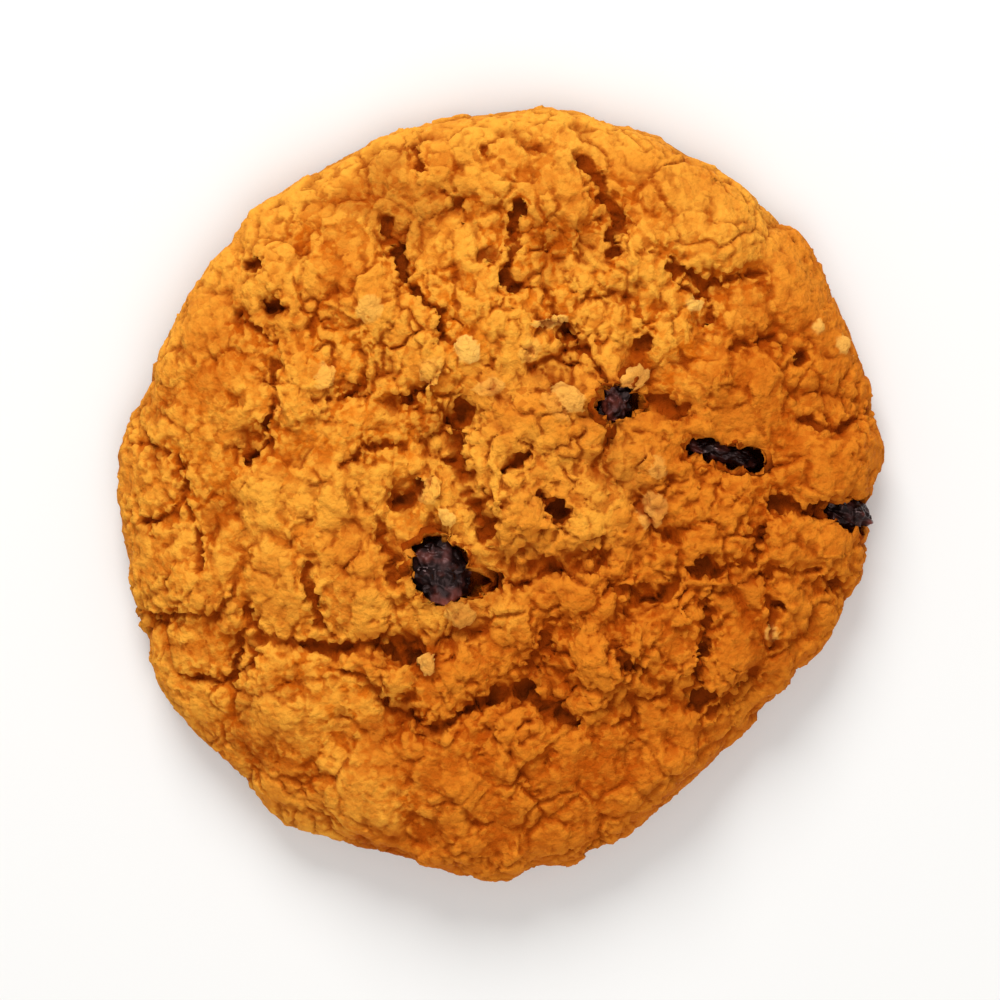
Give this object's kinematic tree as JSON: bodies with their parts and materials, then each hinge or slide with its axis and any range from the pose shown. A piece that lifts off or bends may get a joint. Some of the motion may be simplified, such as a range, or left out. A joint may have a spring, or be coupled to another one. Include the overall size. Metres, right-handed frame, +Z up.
{
  "type": "oatmeal raisin cookie",
  "caption": "Round, thick oatmeal cookie with a craggy golden-brown crust, deep fissures and wrinkled dark raisins set in it, flat underneath.",
  "frame": {"origin": "middle of the flat base, on the surface that the cookie rests on", "axes": "+Z up through the craggy top, +X towards the raisin that sits in the rim"},
  "size_m": [0.078, 0.0796, 0.0136],
  "materials": {
    "baked_dough": "matte baked oat crust, golden on the ridges and brown in the fissures",
    "raisin_skin": "wrinkled purple-black skin with a soft gloss"
  },
  "bodies": {
    "root": {"dough": "baked_dough", "raisin_front": "raisin_skin", "raisin_upper": "raisin_skin", "raisin_right": "raisin_skin", "raisin_edge": "raisin_skin"}
  },
  "joints": []
}
